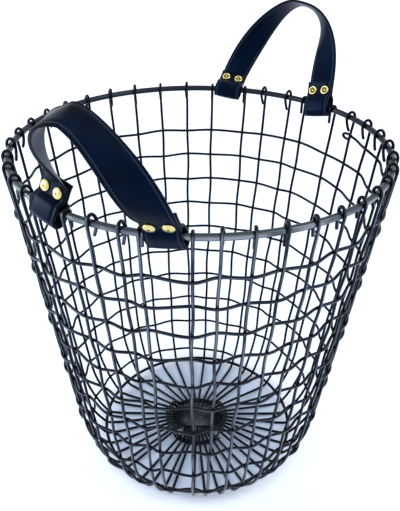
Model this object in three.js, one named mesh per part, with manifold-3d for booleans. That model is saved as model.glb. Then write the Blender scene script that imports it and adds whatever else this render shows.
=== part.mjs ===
// A round tapered storage basket of dark steel wire, with two leather strap handles.
// Twenty long stake wires cross in the middle of the base, run out to the corner, climb the wall and hook
// over a thick rim ring. One weaver wire spirals down the wall, in front of and behind the stakes.
// Each handle is one leather strip, folded round the rim at both ends and held by two brass rivets an end.
// Millimetres, +Z up, origin on the floor under the middle of the base, handles at -Y (near) and +Y (far).
import * as THREE from "three";
import { mergeVertices } from "three/addons/utils/BufferGeometryUtils.js";
import Module from "manifold-3d";

const wasm = await Module();
wasm.setup();

// Wires: diameters, and the gap left between pieces that touch.
const RIM_WIRE = 5;
const STAKE_WIRE = 2.3;
const WEAVER_WIRE = 2;
const BASE_RING_WIRE = 3;
const BINDING_WIRE = 2;
const TOUCH_GAP = 0.3;

// Basket body.
const RIM_RADIUS = 157.5; // centre line of the rim ring
const RIM_HEIGHT = 323.5; // centre line of the rim ring above the floor
const FLOOR_RADIUS = 94; // where the flat floor turns up into the wall
const FOOT_BEND = 9; // tight bend of a stake at the edge of the floor
const FOOT_TURN = 50; // degrees by which that bend turns the stake up
const CORNER_RADIUS = 100; // long bend from there into the straight wall
const FOOT_LENGTH = 8; // straight stretch on which each stake stands
const HOOK_TAIL = 11; // end of a stake, hanging inside the rim

// Stakes and the cross of wires in the middle of the base.
const ARM_WIRES = 10; // wires side by side in one arm of the cross
const STAKE_DRIFT = 6.5; // degrees by which hand-set stakes leave even places round the rim
const DRIFT_FROM = 120; // degrees from +X to where they stand widest apart
const CROSS_TURN = 27; // degrees from +X to the arm of the upper wires
const CROSS_EDGE = 3.5; // wires run straight this far past the corners of the cross, then fan out
const HUB_RISE = 3; // the cross stands clear of the floor by this much
const BINDING_REACH = 9; // first round of the binding wire, beyond the ends of the cross
const BINDING_STEP = 3; // the second round lies this much further out
const BINDING_ROUNDS = 2;
const BINDING_CHANGE = 5; // degrees over which the binding changes sides between two arms

// Weaver: rows counted from its looped top end down to the corner.
const WEAVER_TURNS = 9.9;
const WEAVER_TOP_DROP = 25; // looped end below the rim
const WEAVER_END_HEIGHT = 11.5; // last end above the floor
const WEAVER_SPREAD = 0.137; // share by which the rows lie wider apart towards the base
const WEAVER_START = 58.5; // degrees from +X to the stake that carries the looped end
const WEAVER_LOOP_RADIUS = 3.2;
const WEAVER_LOOP_RISE = 3;
const WEAVER_LOOP_TURN = 300; // degrees of stake that the looped end goes round
const WEAVER_WANDER = 0.9; // rows bent by hand: they leave their line by this much
const WANDER_QUICK = 1.9; // radians a stake, of the two waves that make up the wander
const WANDER_SLOW = 0.37;

// Handles: the strap and its folded ends.
const STRAP_WIDTH = 26;
const STRAP_THICKNESS = 2.4;
const TAB_SIDE_GAP = 3; // between the strap's edge and the stake beside it
const RIVET_HEIGHT = 13.6; // rivet line above the rim's centre line
const JOIN_HEIGHT = 8.4; // where the two layers of a folded end meet
const FOLD_EASE = 1.4; // the fold stays wide for this much above the rim's highest place in it
const LEG_HEIGHT = 0.8; // the leg leaves the inner layer this far above the rivet caps
const CUT_END_HEIGHT = 22; // cut end of the inner layer
const CUT_END_STAND = 0.8; // by which the cut end springs away from the leg
const SWING_OUT = 50; // furthest lean outwards before the folds bind on the rim
const SWING_IN = 25; // furthest lean inwards
const SWING_PLAY = 0.3; // running gap left at the ends of the swing

// Each handle has its own place on the rim and has taken its own bend, different at its two ends.
// tip: degrees by which an end leans further out than its handle. tilt: degrees by which it leans towards
// the handle's middle. legPull: how far the leg runs straight on. legIn, legOut: how far it bends there
// towards the handle's middle and outwards, per height. crownPull: how far the crown runs straight towards
// this end. pace: 1 where the leg twists evenly, more where most of the twist comes late.
const NEAR_ANGLE = 272; // degrees from +X to the middle of the handle
const NEAR_TAB_ANGLE = 16.5; // degrees along the rim from there to each folded end
const NEAR_LEAN = 19.5; // degrees outwards from upright, as it rests
const NEAR_CROWN_HEIGHT = 97.5; // middle of the strap above the rim
const NEAR_CROWN_OUT = 12.5; // and outwards of the handle's plane
const NEAR_CROWN_ASIDE = -7.5; // and to one side
const NEAR_CROWN_SWEEP = 17.2; // degrees by which the crown runs askew to the line through both ends
const NEAR_CROWN_TWIST = 101.3; // degrees by which the strip has turned at the crown
const NEAR_ENDS = [
  { tip: -38.9, tilt: 8.2, legPull: 10.7, legIn: -0.19, legOut: 0.24, crownPull: 26.6, pace: 1.2 },
  { tip: 11.7, tilt: 7.2, legPull: 21.3, legIn: 0, legOut: 0.23, crownPull: 13.2, pace: 0.71 },
];
const FAR_ANGLE = 87.5;
const FAR_TAB_ANGLE = 18.3;
const FAR_LEAN = 34.75;
const FAR_CROWN_HEIGHT = 101.7;
const FAR_CROWN_OUT = 5.9;
const FAR_CROWN_ASIDE = -2.8;
const FAR_CROWN_SWEEP = 6.8;
const FAR_CROWN_TWIST = 106.3;
const FAR_ENDS = [
  { tip: -9.4, tilt: 8.2, legPull: 27.1, legIn: 0, legOut: 0, crownPull: 36.2, pace: 1.23 },
  { tip: 28.1, tilt: 1.9, legPull: 40, legIn: 0, legOut: 0, crownPull: 22.1, pace: 0.79 },
];

// Rivets.
const RIVET_SPACING = 13;
const RIVET_SHANK = 3;
const RIVET_CAP = 9;
const RIVET_CAP_RISE = 2;
const RIVET_CAP_EDGE = 0.6; // upright edge below the dome
const RIVET_HEAD = 8.4;
const RIVET_HEAD_RISE = 1.3;
const RIVET_HEAD_FLOOR = 0.4; // metal left under the dimple in the rolled head
const RIVET_DIMPLE = 2.8;

// Facets of the round sections and bends.
const STAKE_SIDES = 6;
const WEAVER_SIDES = 5;
const HOOK_STEPS = 4;
const FOOT_STEPS = 3;
const CORNER_STEPS = 3;
const LOOP_STEPS = 9;
const LEG_STEPS = 14;
const FOLD_STEPS = 8;
const LEAN_STEPS = 15;
const RIM_SIDES = 8;
const RIM_STEPS = 80;
const BASE_RING_STEPS = 60;
const RIVET_SIDES = 8;
const DOME_STEPS = 3;
const ROLL_STEPS = 4;

const STAKES = 4 * ARM_WIRES;
const STAKE_PITCH = 360 / STAKES;
const stakeRadius = STAKE_WIRE / 2;
const legHeight = RIVET_HEIGHT + RIVET_CAP / 2 + LEG_HEIGHT;
const weaverRadius = WEAVER_WIRE / 2;
const bindingRadius = BINDING_WIRE / 2;
const floorLine = stakeRadius * Math.cos(Math.PI / STAKE_SIDES); // a flat side of the wire is on the floor
const SAME_POINT = 1e-4; // corners closer than this are one corner
const rad = THREE.MathUtils.degToRad;
const vec = (x, y, z) => new THREE.Vector3(x, y, z);
const atAngle = (degrees, r, z) => vec(r * Math.cos(rad(degrees)), r * Math.sin(rad(degrees)), z);

const handles = [
  {
    name: "near",
    angle: NEAR_ANGLE,
    tabAngle: NEAR_TAB_ANGLE,
    lean: NEAR_LEAN,
    crown: vec(NEAR_CROWN_ASIDE, NEAR_CROWN_OUT, NEAR_CROWN_HEIGHT),
    sweep: NEAR_CROWN_SWEEP,
    twist: NEAR_CROWN_TWIST,
    bends: NEAR_ENDS,
  },
  {
    name: "far",
    angle: FAR_ANGLE,
    tabAngle: FAR_TAB_ANGLE,
    lean: FAR_LEAN,
    crown: vec(FAR_CROWN_ASIDE, FAR_CROWN_OUT, FAR_CROWN_HEIGHT),
    sweep: FAR_CROWN_SWEEP,
    twist: FAR_CROWN_TWIST,
    bends: FAR_ENDS,
  },
];

const steel = () => new THREE.MeshStandardMaterial({ color: 0x2a2c32, roughness: 0.42, metalness: 0.85 });
const leather = () => new THREE.MeshStandardMaterial({ color: 0x0d1322, roughness: 0.45, metalness: 0 });
const brass = () => new THREE.MeshStandardMaterial({ color: 0xc9a64e, roughness: 0.28, metalness: 1 });

// Closed skin over a row of rings, each ring with the same number of points, with a flat cap at both ends.
function skinOf(rings) {
  const sides = rings[0].length;
  const positions = rings.flat().flatMap((p) => [p.x, p.y, p.z]);
  const faces = [];
  for (let i = 0; i + 1 < rings.length; i++) {
    for (let j = 0; j < sides; j++) {
      const a = i * sides + j;
      const b = i * sides + ((j + 1) % sides);
      faces.push(a, b, b + sides, a, b + sides, a + sides);
    }
  }
  const last = (rings.length - 1) * sides;
  for (let j = 1; j + 1 < sides; j++) {
    faces.push(0, j + 1, j);
    faces.push(last, last + j, last + j + 1);
  }
  return new THREE.BufferGeometry()
    .setAttribute("position", new THREE.Float32BufferAttribute(positions, 3))
    .setIndex(faces);
}

// Round wire through a row of points. The section has a flat side towards -up where the wire starts, and
// is carried along without turning about the wire.
function wireThrough(points, radius, sides, up) {
  const rings = [];
  let side = null;
  points.forEach((point, i) => {
    const before = points[Math.max(i - 1, 0)];
    const after = points[Math.min(i + 1, points.length - 1)];
    const along = vec(0, 0, 0);
    if (i > 0) along.add(point.clone().sub(before).normalize());
    if (i + 1 < points.length) along.add(after.clone().sub(point).normalize());
    along.normalize();
    side = side ? side.clone() : up.clone().cross(along);
    side.addScaledVector(along, -side.dot(along)).normalize();
    const top = along.clone().cross(side);
    const ring = [];
    for (let j = 0; j < sides; j++) {
      const turn = -Math.PI / 2 + ((j + 0.5) * 2 * Math.PI) / sides;
      const across = side.clone().multiplyScalar(radius * Math.cos(turn));
      ring.push(point.clone().add(across).addScaledVector(top, radius * Math.sin(turn)));
    }
    rings.push(ring);
  });
  return skinOf(rings);
}

// Solid for joining and cutting, and the way back.
function solidOf(geometry) {
  const bare = geometry.clone();
  bare.deleteAttribute("normal");
  bare.deleteAttribute("uv");
  const merged = mergeVertices(bare, SAME_POINT);
  const vertProperties = new Float32Array(merged.attributes.position.array);
  const triVerts = new Uint32Array(merged.index.array);
  return new wasm.Manifold(new wasm.Mesh({ numProp: 3, vertProperties, triVerts }));
}

function geometryOf(solid) {
  const mesh = solid.getMesh();
  return new THREE.BufferGeometry()
    .setAttribute("position", new THREE.Float32BufferAttribute(mesh.vertProperties, 3))
    .setIndex([...mesh.triVerts]);
}

function piece(name, geometry, material) {
  const mesh = new THREE.Mesh(geometry, material);
  mesh.name = name;
  return mesh;
}

const basket = new THREE.Group();

// Rim ring: thick round wire, welded into a circle.
const rimRing = new THREE.TorusGeometry(RIM_RADIUS, RIM_WIRE / 2, RIM_SIDES, RIM_STEPS);
const rim = piece("rim_ring", rimRing, steel());
rim.position.z = RIM_HEIGHT;
basket.add(rim);

// Section of the wall, as radius and height: the stake leaves the floor in a tight bend, goes over into a
// long one, climbs straight and touches the outside of the rim, so that the wall is tangent to both bends.
const hookRadius = RIM_WIRE / 2 + TOUCH_GAP + stakeRadius;
const downwards = (turn) => new THREE.Vector2(Math.sin(turn), -Math.cos(turn));
const footCentre = new THREE.Vector2(FLOOR_RADIUS, floorLine + FOOT_BEND);
const footTurn = rad(FOOT_TURN);
const cornerCentre = footCentre.clone().addScaledVector(downwards(footTurn), FOOT_BEND - CORNER_RADIUS);
const rimCentre = new THREE.Vector2(RIM_RADIUS, RIM_HEIGHT);
const between = rimCentre.clone().sub(cornerCentre);
const wallTurn = between.angle() + Math.asin((CORNER_RADIUS - hookRadius) / between.length());

// The bent stake itself, as radius and height, from its foot to the end of its hook.
const cornerEnd = wallTurn - Math.PI / 2;
const hookStep = (Math.PI - cornerEnd) / HOOK_STEPS;
const stakeSection = [new THREE.Vector2(FLOOR_RADIUS - FOOT_LENGTH, floorLine)];
for (let i = 0; i < FOOT_STEPS; i++) {
  const turn = (footTurn * i) / FOOT_STEPS;
  stakeSection.push(footCentre.clone().addScaledVector(downwards(turn), FOOT_BEND));
}
for (let i = 0; i <= CORNER_STEPS; i++) {
  const turn = THREE.MathUtils.lerp(footTurn, wallTurn, i / CORNER_STEPS);
  stakeSection.push(cornerCentre.clone().addScaledVector(downwards(turn), CORNER_RADIUS));
}
for (let i = 0; i <= HOOK_STEPS; i++) {
  const turn = cornerEnd + i * hookStep;
  const clearOfRim = i === 0 || i === HOOK_STEPS ? 1 : 1 / Math.cos(hookStep / 2);
  const out = new THREE.Vector2(Math.cos(turn), Math.sin(turn));
  stakeSection.push(rimCentre.clone().addScaledVector(out, hookRadius * clearOfRim));
}
stakeSection.push(rimCentre.clone().add(new THREE.Vector2(-hookRadius, -HOOK_TAIL)));

// Point beside the bent stake at a height on the wall, moved out from it by some amount.
function wallPoint(height, outwards) {
  const next = stakeSection.findIndex((spot) => spot.y > height);
  const from = stakeSection[next - 1];
  const along = stakeSection[next].clone().sub(from);
  const spot = from.clone().addScaledVector(along, (height - from.y) / along.y);
  return spot.addScaledVector(new THREE.Vector2(along.y, -along.x).normalize(), outwards);
}

// Stakes stand nearly evenly round the wall, and those beside a folded strap end are pushed out of its
// way.
const tabClear = STRAP_WIDTH / 2 + TAB_SIDE_GAP + stakeRadius;
const tabSpread = THREE.MathUtils.radToDeg(Math.asin(tabClear / RIM_RADIUS));
const tabAngles = handles.flatMap(({ angle, tabAngle }) => [angle - tabAngle, angle + tabAngle]);

function stakeAngle(index) {
  const even = (index + 0.5) * STAKE_PITCH;
  const set = even + STAKE_DRIFT * Math.sin(rad(even - DRIFT_FROM));
  const turned = THREE.MathUtils.euclideanModulo(set, 360);
  const tab = tabAngles.find((angle) => Math.abs(turned - angle) < tabSpread);
  if (tab === undefined) return set;
  return set - turned + tab + (turned < tab ? -tabSpread : tabSpread);
}

// Outer half of a stake wire, from the bend beside the cross to the end of the hook.
function stakeHalf(bend, angle) {
  return [bend, ...stakeSection.map((spot) => atAngle(angle, spot.x, spot.y))];
}

// Stake wires: each runs from a hook down the wall, through the cross and up the far wall to its other
// hook. The upper wires lie on the lower ones where they cross.
const wirePitch = STAKE_WIRE + TOUCH_GAP;
const armHalf = ((ARM_WIRES - 1) / 2) * wirePitch;
const crossRadius = armHalf * Math.SQRT2 + CROSS_EDGE;
const lowerCross = floorLine + HUB_RISE;
const crosses = [
  { name: "upper_stake_wire_", turn: CROSS_TURN, height: lowerCross + wirePitch },
  { name: "lower_stake_wire_", turn: CROSS_TURN + 90, height: lowerCross },
];
for (const { name, turn, height } of crosses) {
  const along = atAngle(turn, 1, 0);
  const across = atAngle(turn + 90, 1, 0);
  for (let i = 0; i < ARM_WIRES; i++) {
    const place = i - (ARM_WIRES - 1) / 2;
    const aside = place * wirePitch;
    const straight = Math.sqrt(crossRadius ** 2 - aside ** 2);
    const bendAt = (way) =>
      along.clone().multiplyScalar(way * straight).addScaledVector(across, aside).setZ(height);
    const nearStake = Math.floor((turn + place * STAKE_PITCH) / STAKE_PITCH);
    const farStake = Math.floor((turn + 180 - place * STAKE_PITCH) / STAKE_PITCH);
    const nearHalf = stakeHalf(bendAt(1), stakeAngle(nearStake));
    const farHalf = stakeHalf(bendAt(-1), stakeAngle(farStake));
    const points = [...farHalf.reverse(), ...nearHalf];
    const hookUp = vec(-Math.cos(rad(stakeAngle(farStake))), -Math.sin(rad(stakeAngle(farStake))), 0);
    const wire = wireThrough(points, stakeRadius, STAKE_SIDES, hookUp);
    basket.add(piece(name + String(i + 1).padStart(2, "0"), wire, steel()));
  }
}

// Base ring: lies inside the tight bend of the stakes, and keeps their feet apart.
const ringInset = FOOT_BEND - stakeRadius - TOUCH_GAP - BASE_RING_WIRE / 2;
const ringSpot = footCentre.clone().addScaledVector(downwards(footTurn), ringInset);
const baseRing = new THREE.TorusGeometry(ringSpot.x, BASE_RING_WIRE / 2, STAKE_SIDES, BASE_RING_STEPS);
const ring = piece("base_ring", baseRing, steel());
ring.position.z = ringSpot.y;
basket.add(ring);

// Binding wire: goes round the cross, over the arms of the upper wires and under those of the lower ones,
// and changes sides in the open corners between two arms.
const fanLength = FLOOR_RADIUS - FOOT_LENGTH - crossRadius;
const bindingClear = stakeRadius + TOUCH_GAP + bindingRadius;
const armEdge = (90 - BINDING_CHANGE) / 2; // degrees from the middle of an arm to the step beside it
const bindingPoints = [];
for (let quarter = 0; quarter < 4 * BINDING_ROUNDS; quarter++) {
  const over = quarter % 2 === 0;
  for (const offset of [-armEdge, -armEdge / 2, 0, armEdge / 2, armEdge]) {
    const turned = quarter * 90 + offset + armEdge;
    const r = crossRadius + BINDING_REACH + (BINDING_STEP * turned) / 360;
    const cross = over ? crosses[0].height : crosses[1].height;
    const slope = ((cross - floorLine) * (r - crossRadius)) / fanLength;
    const height = over ? cross + bindingClear : cross - slope - bindingClear;
    bindingPoints.push(atAngle(CROSS_TURN + quarter * 90 + offset, r, height));
  }
}
const binding = wireThrough(bindingPoints, bindingRadius, WEAVER_SIDES, vec(0, 0, 1));
basket.add(piece("hub_binding_wire", binding, steel()));

// Weaver: one unbroken wire from a small loop round a stake, down the wall in a spiral, passing the stakes
// on the outside and the inside by turns. Each round starts on the other side from the round above it.
const weaverTop = RIM_HEIGHT - WEAVER_TOP_DROP;
const weaveOffset = stakeRadius + TOUCH_GAP + weaverRadius;
const firstStake = Math.floor(WEAVER_START / STAKE_PITCH);
const crossings = Math.round(WEAVER_TURNS * STAKES);

function weaverHeight(crossing) {
  const share = crossing / crossings;
  const fall = share * (1 - WEAVER_SPREAD) + share * share * WEAVER_SPREAD;
  const wander = Math.sin(crossing * WANDER_QUICK) * Math.sin(crossing * WANDER_SLOW);
  return THREE.MathUtils.lerp(weaverTop, WEAVER_END_HEIGHT, fall) + WEAVER_WANDER * wander * (1 - share);
}

const weaverPoints = [];
const loopAxis = wallPoint(weaverTop, 0);
const loopAngle = stakeAngle(firstStake);
const loopOut = atAngle(loopAngle, 1, 0);
const loopOn = atAngle(loopAngle - 90, 1, 0);
for (let i = 0; i < LOOP_STEPS; i++) {
  const left = 1 - i / LOOP_STEPS;
  const turn = -rad(WEAVER_LOOP_TURN) * left;
  const centre = atAngle(loopAngle, loopAxis.x, weaverTop + WEAVER_LOOP_RISE * left);
  centre.addScaledVector(loopOut, WEAVER_LOOP_RADIUS * Math.cos(turn));
  weaverPoints.push(centre.addScaledVector(loopOn, WEAVER_LOOP_RADIUS * Math.sin(turn)));
}
for (let k = 0; k <= crossings; k++) {
  const outside = (k + Math.floor(k / STAKES)) % 2 === 0;
  const spot = wallPoint(weaverHeight(k), outside ? weaveOffset : -weaveOffset);
  weaverPoints.push(atAngle(stakeAngle(firstStake - k), spot.x, spot.y));
}
const weaver = wireThrough(weaverPoints, weaverRadius, WEAVER_SIDES, vec(0, 0, 1));
basket.add(piece("weaver_wire", weaver, steel()));

let leastGap = Infinity;
weaverPoints.forEach((point, i) => {
  for (let j = i + LOOP_STEPS - 1; j < weaverPoints.length; j++) {
    leastGap = Math.min(leastGap, point.distanceTo(weaverPoints[j]) - WEAVER_WIRE);
  }
});
console.log("weaver: least gap to itself " + leastGap.toFixed(2) + " mm");

// Folded strap end, in the handle's own frame: X along the line through both ends, Y outwards, Z up the
// handle. The rim crosses that line at an angle, so it tilts in the fold as the handle swings. The fold is
// as wide and as long as that needs, from the furthest lean inwards to the furthest lean outwards.
const layer = (STRAP_THICKNESS + TOUCH_GAP) / 2;
const rimSag = STRAP_WIDTH ** 2 / 8 / RIM_RADIUS; // the rim curves away by this much across the strap
const leanStep = (SWING_OUT + SWING_IN) / LEAN_STEPS;
const leans = Array.from({ length: LEAN_STEPS + 1 }, (_, i) => i * leanStep - SWING_IN);

function foldedEnd(tabAngle, { tip, tilt }) {
  const tabSin = Math.sin(rad(tabAngle));
  const rimWays = leans.map((lean) =>
    vec(Math.cos(rad(tabAngle)), -tabSin * Math.cos(rad(lean)), -tabSin * Math.sin(rad(lean))),
  );
  const along = rimWays[0].clone().add(rimWays[LEAN_STEPS]).normalize();
  const upright = vec(0, Math.sin(rad(tip)), Math.cos(rad(tip)));
  upright.addScaledVector(along, -upright.dot(along)).normalize();
  const out = upright.clone().cross(along);
  const side = along.clone().applyAxisAngle(out, -rad(tilt));
  const up = upright.clone().applyAxisAngle(out, -rad(tilt));
  const rimReach = (axis) =>
    Math.max(...rimWays.map((way) => Math.abs(((STRAP_WIDTH / 2) * way.dot(axis)) / way.dot(side))));
  const half = (RIM_WIRE + STRAP_THICKNESS + rimSag) / 2 + SWING_PLAY + rimReach(out);
  const slot = rimReach(up) + SWING_PLAY;
  const spot = vec(RIM_RADIUS * tabSin, -rimSag / 2, 0);
  const at = (outwards, upwards) =>
    spot.clone().addScaledVector(out, outwards).addScaledVector(up, upwards);
  return { side, up, out, half, slot, at };
}

// Half of the strip, from the cut end inside the rim, round the fold and up one leg to the crown.
function strapHalf(end, bend, crown, crownWay, crownTwist) {
  const fold = [
    [-layer - CUT_END_STAND, CUT_END_HEIGHT],
    [-layer, legHeight],
    [-layer, JOIN_HEIGHT],
    [-end.half, end.slot + FOLD_EASE],
  ];
  for (let i = 0; i <= FOLD_STEPS; i++) {
    const turn = Math.PI * (1 + i / FOLD_STEPS);
    fold.push([end.half * Math.cos(turn), -end.slot + end.half * Math.sin(turn)]);
  }
  fold.push([end.half, end.slot + FOLD_EASE], [layer, JOIN_HEIGHT], [layer, legHeight]);
  const sections = fold.map(([out, up], i) => {
    const [outBefore, upBefore] = fold[Math.max(i - 1, 0)];
    const [outAfter, upAfter] = fold[Math.min(i + 1, fold.length - 1)];
    const to = new THREE.Vector2(outAfter - out, upAfter - up).normalize();
    const from = new THREE.Vector2(out - outBefore, up - upBefore).normalize();
    const along = to.add(from).normalize();
    const face = end.out.clone().multiplyScalar(along.y).addScaledVector(end.up, -along.x);
    return { middle: end.at(out, up), face, side: end.side };
  });

  const start = end.at(layer, legHeight);
  const legEnd = start.clone().addScaledVector(vec(-bend.legIn, bend.legOut, 0).add(end.up), bend.legPull);
  const crownStart = crown.clone().addScaledVector(crownWay, bend.crownPull);
  const leg = new THREE.CubicBezierCurve3(start, legEnd, crownStart, crown);
  for (let i = 1; i <= LEG_STEPS; i++) {
    const share = i / LEG_STEPS;
    const along = leg.getTangent(share);
    const flat = end.out.clone().lerp(vec(0, 1, 0), share);
    flat.addScaledVector(along, -flat.dot(along)).normalize();
    const twist = rad(crownTwist) * THREE.MathUtils.smoothstep(share ** bend.pace, 0, 1);
    const face = flat.clone().multiplyScalar(Math.cos(twist));
    face.addScaledVector(flat.clone().cross(along), Math.sin(twist));
    sections.push({ middle: leg.getPoint(share), face, side: face.clone().cross(along) });
  }
  return sections;
}

const mirrored = (v) => vec(-v.x, v.y, v.z);

// Whole strip, with the holes for its rivets. The second end is worked out as a mirrored first one.
function strapGeometry(ends, { bends, crown, sweep, twist }, rivetPlaces) {
  const crownWay = atAngle(sweep, 1, 0);
  const otherWay = mirrored(crownWay).negate();
  const half = strapHalf(ends[0], bends[0], crown, crownWay, twist);
  const otherHalf = strapHalf(ends[1], bends[1], mirrored(crown), otherWay, twist);
  const sections = otherHalf.slice(0, -1).reverse().map(({ middle, face, side }) => ({
    middle: mirrored(middle),
    face: mirrored(face),
    side: mirrored(side),
  }));
  const corners = [
    [1, 1],
    [-1, 1],
    [-1, -1],
    [1, -1],
  ];
  const rings = [...half, ...sections].map(({ middle, face, side }) =>
    corners.map(([across, through]) =>
      middle
        .clone()
        .addScaledVector(side, (across * STRAP_WIDTH) / 2)
        .addScaledVector(face, (through * STRAP_THICKNESS) / 2),
    ),
  );
  let strap = solidOf(skinOf(rings));
  const holeRadius = shankRadius + TOUCH_GAP;
  const holeLength = 2 * (stack + STRAP_THICKNESS);
  for (const place of rivetPlaces) {
    const drill = new THREE.CylinderGeometry(holeRadius, holeRadius, holeLength, RIVET_SIDES);
    strap = strap.subtract(solidOf(drill.applyMatrix4(place)));
  }
  return geometryOf(strap);
}

// Rivet: a shank with a rolled, hollow inner head, closed by a domed cap on the outside of the strap.
const stack = layer + STRAP_THICKNESS / 2 + TOUCH_GAP; // from the middle of the two layers to a head
const capRadius = RIVET_CAP / 2;
const headRadius = RIVET_HEAD / 2;
const shankRadius = RIVET_SHANK / 2;
const dimpleRadius = RIVET_DIMPLE / 2;
const capOutline = [new THREE.Vector2(0, stack), new THREE.Vector2(capRadius, stack)];
for (let i = 0; i < DOME_STEPS; i++) {
  const turn = ((i / DOME_STEPS) * Math.PI) / 2;
  const rise = RIVET_CAP_EDGE + (RIVET_CAP_RISE - RIVET_CAP_EDGE) * Math.sin(turn);
  capOutline.push(new THREE.Vector2(capRadius * Math.cos(turn), stack + rise));
}
capOutline.push(new THREE.Vector2(0, stack + RIVET_CAP_RISE));

const postOutline = [new THREE.Vector2(0, -stack - RIVET_HEAD_FLOOR)];
for (let i = 0; i <= ROLL_STEPS; i++) {
  const turn = (i / ROLL_STEPS) * Math.PI;
  const r = THREE.MathUtils.lerp(dimpleRadius, headRadius, (1 - Math.cos(turn)) / 2);
  const rise = RIVET_HEAD_FLOOR + (RIVET_HEAD_RISE - RIVET_HEAD_FLOOR) * Math.sin(turn);
  postOutline.push(new THREE.Vector2(r, -stack - rise));
}
postOutline.push(new THREE.Vector2(headRadius, -stack), new THREE.Vector2(shankRadius, -stack));
postOutline.push(new THREE.Vector2(shankRadius, stack - TOUCH_GAP));
postOutline.push(new THREE.Vector2(0, stack - TOUCH_GAP));

// Places of the four rivets of a handle: Y of each place runs along the rivet, out of the basket.
function rivetPlacesOf(ends) {
  return ends.flatMap((end, i) =>
    [-RIVET_SPACING / 2, RIVET_SPACING / 2].map((shift) => {
      const turned = i === 0 ? (v) => v.clone() : mirrored;
      const spot = end.at(0, RIVET_HEIGHT).addScaledVector(end.side, shift);
      const side = turned(end.side);
      const out = turned(end.out);
      const place = new THREE.Matrix4().makeBasis(side, out, side.clone().cross(out));
      return place.setPosition(turned(spot));
    }),
  );
}

// Handles: each swings as one piece about the line through its two folded ends.
for (const shape of handles) {
  const { name, angle, tabAngle, lean, bends } = shape;
  const ends = bends.map((bend) => foldedEnd(tabAngle, bend));
  const rivetPlaces = rivetPlacesOf(ends);
  const handle = new THREE.Group();
  handle.add(piece(name + "_strap", strapGeometry(ends, shape, rivetPlaces), leather()));
  rivetPlaces.forEach((place, i) => {
    const cap = new THREE.LatheGeometry(capOutline, RIVET_SIDES);
    const post = new THREE.LatheGeometry(postOutline, RIVET_SIDES);
    const rivet = [
      piece(name + "_rivet_cap_" + (i + 1), cap, brass()),
      piece(name + "_rivet_post_" + (i + 1), post, brass()),
    ];
    for (const part of rivet) {
      place.decompose(part.position, part.quaternion, part.scale);
      handle.add(part);
    }
  });
  handle.rotation.x = -rad(lean);
  handle.position.set(0, RIM_RADIUS * Math.cos(rad(tabAngle)), RIM_HEIGHT);
  const place = new THREE.Group();
  place.rotation.z = rad(angle - 90);
  place.add(handle);
  basket.add(place);
}

export default basket;
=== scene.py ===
# Looks of a tapered round storage basket, woven by hand from dark wire, with two leather handles.
# Metres, +Z up. The basket stands on z = 0, with its near handle at -Y and its far handle at +Y.
import math
import random

import bpy
from mathutils import Matrix, Vector


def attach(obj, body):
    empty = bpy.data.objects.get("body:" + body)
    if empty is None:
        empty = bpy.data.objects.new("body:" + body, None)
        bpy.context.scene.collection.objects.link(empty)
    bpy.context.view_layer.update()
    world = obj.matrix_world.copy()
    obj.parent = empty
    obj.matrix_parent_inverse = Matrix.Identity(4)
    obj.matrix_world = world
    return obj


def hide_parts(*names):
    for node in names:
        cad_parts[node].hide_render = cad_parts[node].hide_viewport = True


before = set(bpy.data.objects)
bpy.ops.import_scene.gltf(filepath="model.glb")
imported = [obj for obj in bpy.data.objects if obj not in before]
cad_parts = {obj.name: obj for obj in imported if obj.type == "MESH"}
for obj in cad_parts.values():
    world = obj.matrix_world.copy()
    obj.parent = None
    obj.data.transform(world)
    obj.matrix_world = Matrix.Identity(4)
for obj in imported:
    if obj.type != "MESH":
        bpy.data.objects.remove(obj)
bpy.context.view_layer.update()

# Rim ring: round steel rod, rolled to a circle and welded. Stakes and handles hang on it. It has the
# dark gunmetal lacquer of the woven wire, which makes every wire a little thicker than bare steel and
# is more rubbed here, by hands and by the handles. Its lighter rubbed line is also a painted
# highlight, and its side facing into the basket is painted darker as shade.
RIM_RADIUS = 0.1575
RIM_HEIGHT = 0.3235
RIM_WIRE = 0.005
LACQUER = 0.00035
RIM_STEPS = 200
RIM_SIDES = 14
TIP_LENGTH = 0.2
TIP_WIDTH = 0.72
# Radii of the painted sheen on the floor's cross: full inside the first, gone past the second.
CROSS_SHEEN_RADIUS = 0.013
CROSS_PLAIN = 0.021


class Tone:
    """A value on a surface, from one socket of a finish's nodes. Arithmetic adds Math nodes."""

    def __init__(self, tree, socket=None):
        self.tree = tree
        self.socket = socket

    def node(self, kind, settings, sockets, output=0):
        made = self.tree.nodes.new(kind)
        for name, value in settings.items():
            setattr(made, name, value)
        for name, value in sockets.items():
            if isinstance(value, Tone):
                self.tree.links.new(value.socket, made.inputs[name])
            else:
                made.inputs[name].default_value = value
        return Tone(self.tree, made.outputs[output])

    def math(self, operation, first, second=0.0):
        return self.node("ShaderNodeMath", {"operation": operation}, {0: first, 1: second})

    def __add__(self, other):
        return self.math("ADD", self, other)

    def __radd__(self, other):
        return self.math("ADD", other, self)

    def __sub__(self, other):
        return self.math("SUBTRACT", self, other)

    def __rsub__(self, other):
        return self.math("SUBTRACT", other, self)

    def __mul__(self, other):
        return self.math("MULTIPLY", self, other)

    def __rmul__(self, other):
        return self.math("MULTIPLY", other, self)

    def between(self, low, high):
        """0 below low, 1 above high and a smooth step from one to the other."""
        return self.node("ShaderNodeMapRange", {"interpolation_type": "SMOOTHSTEP"},
                         {"Value": self, "From Min": low, "From Max": high})

    def mix(self, first, second):
        """Colour that goes from first to second as this tone goes from 0 to 1."""
        colours = [c if isinstance(c, Tone) else (*c, 1) for c in (first, second)]
        return self.node("ShaderNodeMix", {"data_type": "RGBA"},
                         {0: self, 6: colours[0], 7: colours[1]}, 2)


def new_finish(name):
    """A new material, its shader's sockets, and a tone to start its nodes from."""
    material = bpy.data.materials.new(name)
    material.use_nodes = True
    tree = material.node_tree
    return material, tree.nodes["Principled BSDF"].inputs, Tone(tree)


def feed(sockets, **tones):
    """Links tones to the shader's sockets, with _ for the space in a socket's name."""
    for name, tone in tones.items():
        tone.tree.links.new(tone.socket, sockets[name.replace("_", " ")])


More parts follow.
